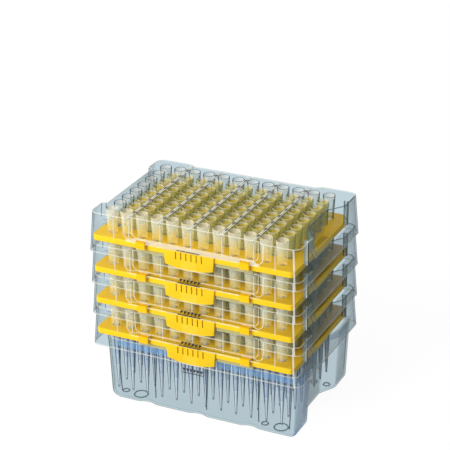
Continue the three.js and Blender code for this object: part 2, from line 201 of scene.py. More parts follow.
def tray_outline(depth, share, shrink, inward):
    """A tray's wall `depth` below its top, moved `inward` from its outer face.

    `share` is how much of the recesses' depth is there, and `shrink` narrows them.
    """
    grown = DRAFT * depth
    x, y = TRAY_HALF_X + grown, TRAY_HALF_Y + grown

    def recess(origin, along, inwards, shape):
        smaller = {"half": shape["half"] - shrink, "run": shape["run"]}
        return notch(origin, along, inwards, 0, smaller, share * (shape["depth"] + grown))

    corners = [
        (-x, -y), *recess((0, -y), EAST, NORTH, FRONT_RECESS),
        (x, -y), *recess((x, 0), NORTH, WEST, RIGHT_RECESS),
        (x, y), *recess((0, y), WEST, SOUTH, FRONT_RECESS),
        (-x, y), *recess((-x, 0), SOUTH, EAST, LEFT_RECESS),
    ]
    cuts = [CORNER_RADIUS - inward, *[NOTCH_CUT] * 4] * 4
    steps = [CORNER_STEPS, *[NOTCH_STEPS] * 4] * 4
    return rounded(inset(corners, inward), cuts, steps)


def base_outline(depth, inward):
    """The base box's wall `depth` below its rim, moved `inward` from its outer face."""
    taper = BASE_DRAFT * depth
    flute_depth = BASE_DRAFT * max(0.0, depth - FLUTE_START)
    left = -TRAY_HALF_X + LEFT_RECESS["depth"] + taper
    right = TRAY_HALF_X - BASE_RIGHT_INSET - taper
    y = FRONT_PLANE - BASE_DRAFT * min(depth, FLUTE_START)
    flute = {"half": FLUTE_HALF, "run": FLUTE_RUN}
    grip = {"half": BASE_RIGHT_HALF, "run": RIGHT_RECESS["run"]}
    centres = [(i - (FLUTE_COUNT - 1) / 2) * FLUTE_PITCH for i in range(FLUTE_COUNT)]

    def fluted(origin, along, inwards):
        return [p for c in centres for p in notch(origin, along, inwards, c, flute, flute_depth)]

    corners = [
        (left, -y), *fluted((0, -y), EAST, NORTH),
        (right, -y), *notch((right, 0), NORTH, WEST, 0, grip, RIGHT_RECESS["depth"] - BASE_RIGHT_INSET),
        (right, y), *fluted((0, y), WEST, SOUTH),
        (left, y),
    ]
    small = [NOTCH_CUT] * (4 * FLUTE_COUNT)
    big_left, big_right = BASE_ROUND_LEFT - inward, BASE_ROUND_RIGHT - inward
    cuts = [big_left, *small, big_right, *[NOTCH_CUT] * 4, big_right, *small, big_left]
    fine = [NOTCH_STEPS] * (4 * FLUTE_COUNT)
    steps = [CORNER_STEPS, *fine, CORNER_STEPS, *[NOTCH_STEPS] * 4, CORNER_STEPS, *fine, CORNER_STEPS]
    return rounded(inset(corners, inward), cuts, steps)


# ---- meshes: a part is (vertices, faces, material index of each face) ----
def at_height(outline, z):
    return np.column_stack([outline, np.full(len(outline), z)])


def unit_circle(sides):
    angles = np.linspace(0, 2 * math.pi, sides, endpoint=False)
    return np.column_stack([np.cos(angles), np.sin(angles)])


def quarter_turn(steps):
    return [math.radians(90 * i / steps) for i in range(steps + 1)]


def loft(rings, material=0, wrap=False, cap_first=False, cap_last=False):
    """A skin through rings of points, each ring running counter-clockwise, from the top down.

    `material` is one index, or a function of the band and the column of a face. A cap counts as
    the band before the first one, or after the last one.
    """
    count, bands = len(rings[0]), len(rings) if wrap else len(rings) - 1
    pick = material if callable(material) else lambda band, column: material
    faces, indices = [], []
    for band in range(bands):
        upper, lower = band * count, (band + 1) % len(rings) * count
        for i in range(count):
            after = (i + 1) % count
            faces.append((upper + i, lower + i, lower + after, upper + after))
            indices.append(pick(band, i))
    if cap_first:
        faces.append(tuple(range(count)))
        indices.append(pick(-1, 0))
    if cap_last:
        start = (len(rings) - 1) * count
        faces.append(tuple(range(start + count - 1, start - 1, -1)))
        indices.append(pick(bands, 0))
    return np.concatenate(rings), faces, indices


def block(x0, x1, y0, y1, z0, z1, material=0, bevel=0.0):
    """A box whose upright edges are cut by `bevel`."""
    corners = np.array([(x0, y0), (x1, y0), (x1, y1), (x0, y1)])
    outline = rounded(corners, [bevel] * 4, [BEVEL_STEPS] * 4) if bevel else corners
    rings = [at_height(outline, z1), at_height(outline, z0)]
    return loft(rings, material, cap_first=True, cap_last=True)


def moved(part, x=0.0, y=0.0, z=0.0):
    return part[0] + np.array([x, y, z]), part[1], part[2]


def joined(parts):
    vertices, faces, indices, start = [], [], [], 0
    for points, part_faces, part_indices in parts:
        vertices.append(points)
        faces.extend(tuple(i + start for i in face) for face in part_faces)
        indices.extend(part_indices)
        start += len(points)
    return np.concatenate(vertices), faces, indices


def make_object(name, part, materials):
    vertices, faces, indices = part
    mesh = bpy.data.meshes.new(name)
    mesh.from_pydata((vertices * MM).tolist(), [], faces)
    for material in materials:
        mesh.materials.append(material)
    mesh.polygons.foreach_set("material_index", indices)
    mesh.polygons.foreach_set("use_smooth", [True] * len(faces))
    mesh.set_sharp_from_angle(angle=math.radians(SMOOTH_DEGREES))
    obj = bpy.data.objects.new(name, mesh)
    bpy.context.scene.collection.objects.link(obj)
    return obj


def cut(part, cutters):
    """The part with a set of closed cutters taken out of it."""
    body, tool = make_object("cut_body", part, []), make_object("cut_tool", joined(cutters), [])
    modifier = body.modifiers.new("cut", "BOOLEAN")
    modifier.operation, modifier.solver, modifier.object = "DIFFERENCE", "EXACT", tool
    modifier.use_self = False
    shown = body.evaluated_get(bpy.context.evaluated_depsgraph_get())
    mesh = shown.to_mesh()
    vertices = np.array([v.co for v in mesh.vertices]) / MM
    faces = [tuple(p.vertices) for p in mesh.polygons]
    indices = [p.material_index for p in mesh.polygons]
    shown.to_mesh_clear()
    for obj in (body, tool):
        data = obj.data
        bpy.data.objects.remove(obj)
        bpy.data.meshes.remove(data)
    return vertices, faces, indices


def finish_piece(obj, slot, *nodes):
    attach(obj, "root")
    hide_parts(*nodes)


# ---- clear trays ----
# Material slots of a clear piece.
FACE, EDGE, RIB, GAP, LINE, REAR, CORNER, BEAD, PANEL, BLUE_SHADE, LEDGE = range(11)


def free_edge(level, depth, direction):
    """Rings round a wall's free edge, from its outer face over to its inner one.

    `level` makes a ring from a depth and a distance inward, and `direction` is 1 at the wall's
    top and -1 at its foot.
    """
    down = direction * RIM_EDGE
    soft, soft_down = SOFT_SHARE * RIM_EDGE, SOFT_SHARE * down
    return [
        level(depth + down, 0.0), level(depth + soft_down, soft), level(depth, RIM_EDGE),
        level(depth, WALL - RIM_EDGE), level(depth + soft_down, WALL - soft), level(depth + down, WALL),
    ]


def outline_place(column):
    """Where a column of a tray outline's faces lies: its side, and its place from the corner on.

    Side 0 runs from the front left corner along the front, and sides 1 to 3 are the right,
    back and left ones. The place is below -1 on the rounded corner, and -1 just after it.
    """
    corner_points, notch_points = CORNER_STEPS + 1, NOTCH_STEPS + 1
    side, place = divmod(column, corner_points + 4 * notch_points)
    return side, place - corner_points


def wall_slot(column):
    """Material of a recessed wall's face: its upright corners show as lines of painted highlight and
    painted dark reflection.
    """
    side, place = outline_place(column)
    if place < -1:
        return RIB if is_painted_highlight(column) else CORNER
    if place < 0 or place % (NOTCH_STEPS + 1) != NOTCH_STEPS // 2:
        return FACE
    return RIB if side in (0, 2) else LINE


def in_long_recess(column):
    """Whether a column lies in the recess of the front wall or of the back one."""
    side, place = outline_place(column)
    return side in (0, 2) and 0 <= place < 4 * (NOTCH_STEPS + 1) - 1


def rim_slot(column):
    """Material of the top rim: a painted highlight, which gives way to a painted dark reflection at the
    right recess and the back right corner.
    """
    side, place = outline_place(column)
    if side == 1 and place >= 0:
        return LINE
    return REAR if side == 2 and place < -1 else EDGE


def is_painted_highlight(column):
    """The face of the front right corner that carries a painted highlight from top to bottom."""
    side, place = outline_place(column)
    return side == 1 and place == -CORNER_STEPS


def tray_shell():
    """The moulded shell of one tray, with its top at height 0."""
    def ring(depth, share, shrink, inward):
        return at_height(tray_outline(depth, share, shrink, inward), -depth)

    turns = quarter_turn(RECESS_ROUND_STEPS)

    def recess_end(foot, inward, angles):
        return [
            ring(foot - RECESS_ROUND * (1 - math.sin(a)), 1, RECESS_ROUND * (1 - math.cos(a)), inward)
            for a in angles
        ]

    # the ledge falls in an S from the recessed wall to the outer one
    fall = [(0.0, 1.0), (0.1, 0.96), (0.24, 0.8), (0.76, 0.2), (0.9, 0.04), (1.0, 0.0)]
    ledge = [ring(RECESS_FOOT + LEDGE_SLOPE * t, share, RECESS_ROUND, 0.0) for t, share in fall]
    rim = free_edge(lambda depth, inward: ring(depth, 1, 0, inward), 0.0, 1)
    lip = free_edge(lambda depth, inward: ring(depth, 0, RECESS_ROUND, inward), SKIRT_BOTTOM, -1)
    recess = recess_end(RECESS_FOOT, 0.0, turns)[:-1]
    inner_recess = [ring(DECK_DROP, 0, RECESS_ROUND, WALL), *recess_end(DECK_DROP, WALL, turns[::-1])]

    half = len(rim) // 2
    sections = [rim[:half][::-1], recess, ledge, lip, inner_recess, rim[half:][::-1]]
    starts = np.cumsum([0, *[len(section) for section in sections]])
    first_ledge, first_lip, first_inner, last = starts[2], starts[3], starts[4], starts[-1]
    rims = {*range(half - 1), *range(last - half, last)}
    ledge_middle = first_ledge + len(fall) // 2 - 1
    ledge_lines = {*range(first_ledge, first_lip - 1)} - {ledge_middle}
    lip_lines = {*range(first_lip, first_inner - 1)}

    # rims, lips and the ledge lines of the front and back recesses carry a painted highlight
    def material(band, column):
        if band in rims:
            return rim_slot(column)
        if band in lip_lines:
            return EDGE
        if band in ledge_lines:
            return EDGE if in_long_recess(column) else FACE
        # on the top tray the middle of the front ledge takes painted light
        if band == ledge_middle and outline_place(column)[0] == 0 and in_long_recess(column):
            return LEDGE
        slot = wall_slot(column)
        if slot == RIB and outline_place(column)[1] >= 0 and band >= first_ledge:
            return FACE
        return FACE if slot == LINE and band >= half else slot

    return loft([level for section in sections for level in section], material, wrap=True)


def front_wall_y(x):
    """Inner face of the front wall at its top, as a distance from the middle."""
    half, run, depth = FRONT_RECESS["half"], FRONT_RECESS["run"], FRONT_RECESS["depth"]
    return TRAY_HALF_Y - WALL - np.interp(abs(x), [half - run, half], [depth, 0])


def cross_rib(x):
    """One cross rib: a clear web under two beads with a painted highlight, and a dash of painted shade
    beside every row of tips.
    """
    y = front_wall_y(x) + OVERLAP
    high = -RIB_DROP
    low = high - RIB_BEAD
    parts = [block(x - RIB_THICKNESS / 2, x + RIB_THICKNESS / 2, -y, y, -RIB_DEPTH, low, FACE)]
    for side in (x - RIB_GAP / 2 - RIB_BEAD, x + RIB_GAP / 2):
        parts.append(block(side, side + RIB_BEAD, -y, y, low, high, BEAD))
    for row_y in TIP_Y:
        parts.append(block(x - DASH_WIDTH / 2, x + DASH_WIDTH / 2, row_y - DASH / 2, row_y + DASH / 2,
                           high - DASH_DEPTH, high + DASH_RISE, GAP))
    return parts


def wall_rib(x, wall_y):
    """An upright rib on the front wall and its twin on the back wall, both with a painted highlight."""
    x0, x1 = x - WALL_RIB_THICKNESS / 2, x + WALL_RIB_THICKNESS / 2
    y0, y1 = wall_y - WALL_RIB_DEPTH, wall_y + OVERLAP
    return [block(x0, x1, low, high, -DECK_DROP, -RIB_DEPTH, RIB, WALL_RIB_BEVEL)
            for low, high in ((y0, y1), (-y1, -y0))]


def post(y):
    """A post on the inside of the right wall. Its wall end shows a painted dark reflection, as does
    the back one's inner end; the front one has a painted highlight beside its wall end.
    """
    high, x1 = -RIB_DROP, TRAY_HALF_X - WALL + OVERLAP
    x0 = x1 - POST_REACH
    y0, y1 = y - POST_THICKNESS / 2, y + POST_THICKNESS / 2
    first, second = (PANEL, BEAD) if y < 0 else (LINE, PANEL)
    stops = [x0, x0 + POST_LINE, x1 - 2 * POST_LINE, x1 - POST_LINE, x1]
    return [block(left, right, y0, y1, -DECK_DROP, high, slot)
            for left, right, slot in zip(stops, stops[1:], (first, PANEL, second, LINE))]


def tray_ribs():
    """Cross ribs between the tips, upright ribs on the long walls, and the posts on the right."""
    parts = []
    for i in range(RIB_COUNT):
        x = GRID_X + (i - (RIB_COUNT - 1) / 2) * RIB_COLUMNS * TIP_PITCH
        parts += cross_rib(x) + wall_rib(x, front_wall_y(x))
    for x in (-CORNER_RIB_OFFSET, CORNER_RIB_OFFSET):
        parts += wall_rib(x, front_wall_y(x))
    for y in (-POST_OFFSET, POST_OFFSET):
        parts += post(y)
    return parts


def latch_boxes(grown, inner, outer, material):
    """Blocks at the four latches, each side grown by `grown`."""
    high = -DECK_DROP + LATCH_RISE + grown
    low = high - LATCH_HEIGHT - 2 * grown
    half = LATCH_WIDTH / 2 + grown
    return [block(x - half, x + half, y0, y1, low, high, material)
            for x in (-LATCH_OFFSET, LATCH_OFFSET) for y0, y1 in ((-outer, -inner), (inner, outer))]


def build_tray():
    inner = PLATE_FRONT - RIM_WALL / 2 - LATCH_CLEARANCE
    outer = TRAY_HALF_Y + DRAFT * SKIRT_BOTTOM + PAST
    # the sides of the latch windows carry a painted highlight
    shell = cut(tray_shell(), latch_boxes(LATCH_CLEARANCE, inner, outer, EDGE))
    return joined([shell, *tray_ribs()])


# ---- yellow plates ----
PLATE, LATCH, DECK, SLOT, STUDS, PAD = range(6)      # material slots of a plate


def plate_outline(inward):
    corners = [(PLATE_LEFT, -PLATE_FRONT), (PLATE_RIGHT, -PLATE_FRONT),
               (PLATE_RIGHT, PLATE_FRONT), (PLATE_LEFT, PLATE_FRONT)]
    sizes = (PLATE_CORNER, PLATE_CORNER, PLATE_BACK_CORNER, PLATE_CORNER)
    cuts = [size - inward * CORNER_SHRINK for size in sizes]
    return rounded(inset(corners, inward), cuts, [CORNER_STEPS] * 4)


def tip_holes():
    circle = (BODY_RADIUS + HOLE_CLEARANCE) * unit_circle(TIP_SIDES)
    high, low = -DECK_DROP + PAST, -DECK_DROP - DECK_THICKNESS - PAST
    hole = loft([at_height(circle, high), at_height(circle, low)], cap_first=True, cap_last=True)
    return [moved(hole, x, y) for x in TIP_X for y in TIP_Y]


def plate_body():
    edge, soft, cut_off = PLATE_EDGE, SOFT_SHARE * PLATE_EDGE, RIM_EDGE_CUT
    deck, low = -DECK_DROP, -PLATE_BOTTOM
    levels = [
        (edge, deck), (soft, deck - soft), (0, deck - edge), (0, low + edge / 2), (edge / 2, low),
        (RIM_WALL - cut_off, low), (RIM_WALL, low + cut_off), (RIM_WALL, deck - DECK_THICKNESS),
    ]
    rings = [at_height(plate_outline(inward), z) for inward, z in levels]
    # the deck's top face takes painted shade
    return cut(loft(rings, lambda band, _: DECK if band < 0 else PLATE, cap_first=True, cap_last=True),
               tip_holes())


def seat_pads():
    """Bars under the rim that stand on the recessed walls of the tray below, coloured with painted shade.
    """
    high, low = -DECK_DROP - DECK_THICKNESS / 2, -LAYER_PITCH

    def bar_half(recess):
        return recess["half"] - recess["run"] - RECESS_ROUND

    y0, y1 = FRONT_PLANE - WALL - PAD_OVERLAP, PLATE_FRONT - RIM_WALL / 2
    x, left_half, right_half = bar_half(FRONT_RECESS), bar_half(LEFT_RECESS), bar_half(RIGHT_RECESS)
    left, right = PLATE_LEFT + RIM_WALL / 2, PLATE_RIGHT - RIM_WALL / 2
    left_wall = -TRAY_HALF_X + LEFT_RECESS["depth"] + WALL + PAD_OVERLAP
    right_wall = TRAY_HALF_X - RIGHT_RECESS["depth"] - WALL - PAD_OVERLAP
    return [
        block(-x, x, -y1, -y0, low, high, PAD), block(-x, x, y0, y1, low, high, PAD),
        block(left, left_wall, -left_half, left_half, low, high, PAD),
        block(right_wall, right, -right_half, right_half, low, high, PAD),
    ]


def upright_plate(outline, y0, y1, edge):
    """A plate whose outline lies in the XZ plane, between y0 (front) and y1, front edges rounded."""
    soft = SOFT_SHARE * edge
    levels = [(edge, y0), (soft, y0 + soft), (0, y0 + edge), (0, y1)]
    rings = []
    for inward, y in levels:
        points = inset(outline, inward)
        rings.append(np.column_stack([points[:, 0], np.full(len(points), y), points[:, 1]]))
    return loft(rings, cap_first=True, cap_last=True)


def tongue():
    """The spring tongue at the front, bowed along its lower edge, with slots and a grip pad."""
    deck, tip = -DECK_DROP, -SKIRT_BOTTOM - TONGUE_REACH
    shoulder = tip + TONGUE_SHOULDER
    bow = []
    for t in np.linspace(-1, 1, BOW_POINTS):
        bow.append((t * (TONGUE_HALF - TONGUE_TAPER), shoulder - TONGUE_SHOULDER * (1 - t * t)))
    outline = np.array([*bow, (TONGUE_HALF, deck), (-TONGUE_HALF, deck)])
    back = -FRONT_PLANE - TONGUE_GAP
    face = back - TONGUE_THICKNESS
    plate = moved(upright_plate(outline, face, back, TONGUE_EDGE), GRID_X)
    slot_high, slot_low = deck - SLOT_DROP, deck - SLOT_DROP - SLOT_LENGTH
    # the sides of the slots take painted shade
    slots = []
    for i in range(SLOT_COUNT):
        x = GRID_X + (i - (SLOT_COUNT - 1) / 2) * SLOT_PITCH
        slots.append(block(x - SLOT_WIDTH / 2, x + SLOT_WIDTH / 2, face - PAST, back + PAST,
                           slot_low, slot_high, SLOT))
    plate = cut(plate, slots)
    root = block(GRID_X - TONGUE_HALF, GRID_X + TONGUE_HALF, back, -PLATE_FRONT + RIM_WALL / 2,
                 deck - DECK_THICKNESS, deck)
    studs = []
    for column in range(STUD_COLUMNS):
        for row in range(STUD_ROWS):
            x = GRID_X + (column - (STUD_COLUMNS - 1) / 2) * STUD_PITCH
            z = slot_low - (row + STUD_START) * STUD_PITCH
            studs.append(block(x - STUD / 2, x + STUD / 2, face - STUD_RISE, face + OVERLAP,
                               z - STUD / 2, z + STUD / 2, STUDS))
    return [plate, root, *studs]


def latches():
    return latch_boxes(0.0, PLATE_FRONT - RIM_WALL / 2, TRAY_HALF_Y + DRAFT * DECK_DROP, LATCH)


def build_plate():
    return joined([plate_body(), *seat_pads(), *tongue(), *latches()])


# ---- tips ----
# Material slots of the tips.
(COLLAR, FRONT, FRONT_WAIST, FRONT_FOOT, REAR_COLLAR, UPPER, MIDDLE, LOWER, END, MOUTH, RING, SPOT,
 PLATE_REFLECTION, PALE) = range(14)
# Rings of the body, as shares of the way from the plate to its end, each with the look below it.
BODY_RINGS = ((0.05, UPPER), (0.3, UPPER), (0.45, MIDDLE), (0.62, LOWER), (0.96, END), (1, END))


def bore_radius(depth):
    """Radius of a tip's bore `depth` below its mouth, down to the plate."""
    share = depth / DECK_DROP
    return (COLLAR_RADIUS - TIP_WALL) * (1 - share) + (BODY_RADIUS - TIP_WALL) * share


def one_tip(row, column):
    """A hollow tip with its mouth at height 0.

    The front row is whiter with painted light. The tips at the back and the left stand clear of the
    plate's yellow and have painted dark outlines; the others have painted shade with the plates'
    yellow in it and a painted reflection of that yellow in their bores. Every mouth has a painted
    dark reflection at the left of its rim.
    """
    if row == 0:
        collar, waist, foot, mouth, plate_reflection = FRONT, FRONT_WAIST, FRONT_FOOT, MOUTH, PALE
    elif row == ROWS - 1 or column == 0:
        collar, waist, foot, mouth, plate_reflection = REAR_COLLAR, REAR_COLLAR, REAR_COLLAR, RING, PALE
    else:
        collar, waist, foot, mouth, plate_reflection = COLLAR, COLLAR, COLLAR, MOUTH, PLATE_REFLECTION

    def collar_ring(share, slot):
        """A ring of the collar, `share` of the way from the mouth down to the plate."""
        return COLLAR_RADIUS * (1 - share) + SHOULDER_RADIUS * share, -DECK_DROP * share, slot

    def body(share, slot):
        """A ring of the tapered body, `share` of the way from the plate down to its end."""
        radius = BODY_RADIUS * (1 - share) + END_RADIUS * share + BODY_BULGE * share * (1 - share)
        return radius, -DECK_DROP - share * (TIP_LENGTH - DECK_DROP), slot

    soft = MOUTH_ROUND
    profile = [
        (COLLAR_RADIUS - soft, 0, mouth), (COLLAR_RADIUS, -soft, collar),
        collar_ring(WAIST_SHARE, waist), collar_ring(FOOT_SHARE, foot),
        (SHOULDER_RADIUS, -DECK_DROP + SHOULDER_ROUND, foot),
        (SHOULDER_RADIUS - SHOULDER_IN, -DECK_DROP, foot),
        body(0, foot), *[body(share, slot) for share, slot in BODY_RINGS],
        (END_BORE_RADIUS, -TIP_LENGTH, UPPER),
        (bore_radius(DECK_DROP), -DECK_DROP, foot), (bore_radius(DECK_DROP / 2), -DECK_DROP / 2, collar),
        (bore_radius(PLATE_REFLECTION_BOTTOM), -PLATE_REFLECTION_BOTTOM, plate_reflection),
        (bore_radius(PLATE_REFLECTION_TOP), -PLATE_REFLECTION_TOP, PALE), (bore_radius(soft), -soft, mouth),
        (bore_radius(soft) + soft, 0, mouth),
    ]
    circle = unit_circle(TIP_SIDES)
    rings = [at_height(radius * circle, z) for radius, z, _ in profile]
    # a painted dark reflection at the left of every mouth's rim
    spot_bands, spot_sides = (0, len(profile) - 2, len(profile) - 1), (TIP_SIDES // 2 - 1, TIP_SIDES // 2)

    def material(band, side):
        return SPOT if band in spot_bands and side in spot_sides else profile[band][2]

    return loft(rings, material, wrap=True)


def build_tips():
    """The 96 tips of one layer."""
    return joined([moved(one_tip(row, column), x, y)
                   for row, y in enumerate(TIP_Y) for column, x in enumerate(TIP_X)])


# ---- base box ----
# Columns of its outline at which the right wall and every corner but the first one begin.
FRONT_RIGHT = CORNER_STEPS + 1 + 4 * FLUTE_COUNT * (NOTCH_STEPS + 1)
RIGHT_WALL = FRONT_RIGHT + CORNER_STEPS + 1
BACK_RIGHT = RIGHT_WALL + 4 * (NOTCH_STEPS + 1)
BACK_LEFT = BACK_RIGHT + FRONT_RIGHT


def base_slot(column):
    """Material of an upright strip of the base's wall.

    Its corners darken where they turn away, and the right half of the front right corner has painted
    blue shade from the tips behind it.
    """
    if FRONT_RIGHT + CORNER_STEPS // 2 <= column < RIGHT_WALL:
        return BLUE_SHADE
    corners = (0, FRONT_RIGHT, BACK_RIGHT, BACK_LEFT)
    return CORNER if any(start <= column < start + CORNER_STEPS for start in corners) else FACE


def base_line(point):
    """A thin upright with a painted dark reflection inside the base's wall, at one point of its outline."""
    rings = []
    for depth in (BASE_LINE_DROP, FLUTE_START, BASE_TOP - 2 * BASE_EDGE_ROUND):
        outline = base_outline(depth, BASE_WALL)
        here = outline[point]
        along = outline[(point + 1) % len(outline)] - outline[point - 1]
        along = along / np.linalg.norm(along) * BASE_LINE / 2
        inward = np.array([-along[1], along[0]])
        corners = [here - along, here + along, here + along + inward, here - along + inward]
        rings.append(at_height(np.array(corners), BASE_TOP - depth))
    return loft(rings, LINE, cap_first=True, cap_last=True)


def base_lines():
    """Uprights where the rounded corners begin, and at the right of each flute."""
    flute_sides = [CORNER_STEPS + 1 + (4 * i + 3) * (NOTCH_STEPS + 1) + NOTCH_STEPS // 2
                   for i in range(FLUTE_COUNT)]
    corners = [CORNER_STEPS, FRONT_RIGHT, BACK_RIGHT + CORNER_STEPS // 2]
    return [base_line(point) for point in (*flute_sides, *corners)]


def base_shell():
    """The outside, the inside and the top of the box's wall and floor."""
    height = BASE_TOP
    turns = quarter_turn(BASE_ROUND_STEPS)

    def ring(z, inward):
        return at_height(base_outline(height - z, inward), z)

    def edge(radius, foot, inward, angles):
        return [
            ring(foot + radius * (1 - math.sin(a)), inward + radius * (1 - math.cos(a)))
            for a in angles
        ]

    flute_top, skirt_foot = height - FLUTE_START, height + LAYER_PITCH - SKIRT_BOTTOM
    soft = SOFT_SHARE * RIM_EDGE
    rim_out = [ring(height, RIM_EDGE), ring(height - soft, soft), ring(height - RIM_EDGE, 0)]
    rim_in = [ring(height - RIM_EDGE, BASE_WALL), ring(height - soft, BASE_WALL - soft),
              ring(height, BASE_WALL - RIM_EDGE)]
    outer = [ring(skirt_foot, 0), ring(flute_top, 0), *edge(BASE_EDGE_ROUND, 0, 0, turns)]
    inner = [*edge(BASE_INNER_ROUND, FLOOR_THICKNESS, BASE_WALL, turns[::-1]), ring(flute_top, BASE_WALL)]
    rings_out = [*rim_out, *outer]
    under_rim = len(rim_out) - 1

    # the rim carries a painted highlight
    def outer_slot(band, column):
        if band < under_rim:
            return EDGE
        # inside the lowest tray's skirt the wall has painted blue shade at the front and the right
        if band == under_rim and CORNER_STEPS <= column < BACK_RIGHT:
            return BLUE_SHADE
        return base_slot(column) if band < len(rings_out) - 1 else FACE

    outside = loft(rings_out, outer_slot, cap_last=True)
    inside = loft([*inner, *rim_in], lambda band, _: FACE if band < len(inner) else EDGE,
                  cap_first=True)
    top = loft([rim_in[-1], rim_out[0]], EDGE)
    return [outside, inside, top]


def floor_rings():
    """Low round ridges moulded on the base's floor near its corners."""
    parts = []
    circle = unit_circle(CIRCLE_STEPS)
    places = {
        BIG_RING: ((-38.3, -30.8), (46.8, -31.2), (-38.3, 30.8)),
        SMALL_RING: ((-47.9, -30.5), (37.3, -31.2), (-47.9, 30.5), (43.8, 21.5), (51.5, 21.5)),
    }
    section = ((-RIDGE_HALF, 0.0), (-RIDGE_TOP_HALF, RIDGE_HEIGHT), (RIDGE_TOP_HALF, RIDGE_HEIGHT),
               (RIDGE_HALF, 0.0))
    for radius, centres in places.items():
        rings = [at_height((radius + out) * circle, FLOOR_THICKNESS + z) for out, z in section]
        # the ridges carry a painted dark reflection
        ridge = loft(rings, LINE)
        parts += [moved(ridge, x, y) for x, y in centres]
    return parts


def build_base():
    return joined([*base_shell(), *floor_rings(), *base_lines()])


# ---- press marks: plain arrow heads over a line ----
def mark_parts(place, bold):
    """Flat shapes set out by place(s, t), in millimetres across and up the mark.

    A bold mark has its arrow heads and the line under them, and a plain one only the line.
    """
    pitch = ARROW_WIDTH + ARROW_GAP
    half, low, high = ARROWS * pitch / 2 + MARK_LINE_END, MARK_LINE_LOW, MARK_LINE_HIGH
    shapes = [[(-half, low), (half, low), (half, high), (-half, high)]]
    for i in range(ARROWS if bold else 0):
        centre = (i - (ARROWS - 1) / 2) * pitch
        shapes.append([(centre - ARROW_WIDTH / 2, ARROW_HIGH), (centre, ARROW_LOW),
                       (centre + ARROW_WIDTH / 2, ARROW_HIGH)])
    return [(np.array([place(s, t) for s, t in shape]), [tuple(range(len(shape)))], [0])
            for shape in shapes]


def ledge_place(top):
    """Points on the sloping foot of a tray's front recess."""
    drop, out, lift = LEDGE_SLOPE, FRONT_RECESS["depth"] + DRAFT * RECESS_FOOT, LEDGE_MARK_LIFT
    length = math.hypot(drop, out)
    middle_y, middle_z = -FRONT_PLANE - out / 2 - lift, top - RECESS_FOOT - drop / 2 + lift
    mark_middle = (ARROW_HIGH + MARK_LINE_LOW) / 2

    def place(s, t):
        along = (t - mark_middle) / length
        return (GRID_X + s, middle_y + along * out, middle_z + along * drop)
    return place


def wall_place(z):
    """Points on the front wall of the base box."""
    def place(s, t):
        height = z + t
        return (GRID_X + s, base_outline(BASE_TOP - height, 0)[:, 1].min() - MARK_LIFT, height)
    return place


def add_mark(name, place, bold=True):
    mark = make_object(name, joined(mark_parts(place, bold)), [INK])
    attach(mark, "root")


# ---- materials ----
def new_material(name):
    material = bpy.data.materials.new(name)
    material.use_nodes = True
    tree = material.node_tree
    tree.nodes.clear()
    output = tree.nodes.new("ShaderNodeOutputMaterial")
    return material, tree, output


def add_node(tree, kind, **inputs):
    node = tree.nodes.new(kind)
    for name, value in inputs.items():
        node.inputs[name.replace("_", " ")].default_value = value
    return node


def rgb(red, green, blue):
    """A colour written as it shows on the screen, 0 to 255, as the linear one that nodes take."""
    def linear(value):
        value /= 255
        return value / 12.92 if value <= 0.04045 else ((value + 0.055) / 1.055) ** 2.4
    return (linear(red), linear(green), linear(blue), 1.0)


def math_node(tree, operation, first, second, third=None):
    """A Math node; each input is a socket or a number."""
    node = tree.nodes.new("ShaderNodeMath")
    node.operation = operation
    for socket, value in zip(node.inputs, (first, second, third)):
        if value is None:
            continue
        if isinstance(value, (int, float)):
            socket.default_value = value
        else:
            tree.links.new(value, socket)
    return node.outputs[0]


def mix_colours(tree, factor, first, second):
    node = tree.nodes.new("ShaderNodeMix")
    node.data_type = "RGBA"
    for name, value in (("A", first), ("B", second)):
        if isinstance(value, tuple):
            node.inputs[name].default_value = value
        else:
            tree.links.new(value, node.inputs[name])
    tree.links.new(factor, node.inputs["Factor"])
    return node.outputs["Result"]


def noise(tree, scale, detail=2.0):
    """Noise over an object's own coordinates."""
    place = tree.nodes.new("ShaderNodeTexCoord")
    cloud = add_node(tree, "ShaderNodeTexNoise", Scale=scale, Detail=detail)
    tree.links.new(place.outputs["Object"], cloud.inputs["Vector"])
    return cloud.outputs["Fac"]


def add_bump(tree, shader, scale, strength, distance):
    bump = add_node(tree, "ShaderNodeBump", Strength=strength, Distance=distance)
    tree.links.new(noise(tree, scale), bump.inputs["Height"])
    tree.links.new(bump.outputs["Normal"], shader.inputs["Normal"])


def show_mix(tree, output, factor, first, second):
    """Shows the first shader, and the second one over it by `factor`."""
    mix = tree.nodes.new("ShaderNodeMixShader")
    tree.links.new(factor, mix.inputs["Fac"])
    tree.links.new(first.outputs[0], mix.inputs[1])
    tree.links.new(second.outputs[0], mix.inputs[2])
    tree.links.new(mix.outputs[0], output.inputs["Surface"])


SHADOW_SHARE = 0.12       # how much of a clear part's look its shadow has


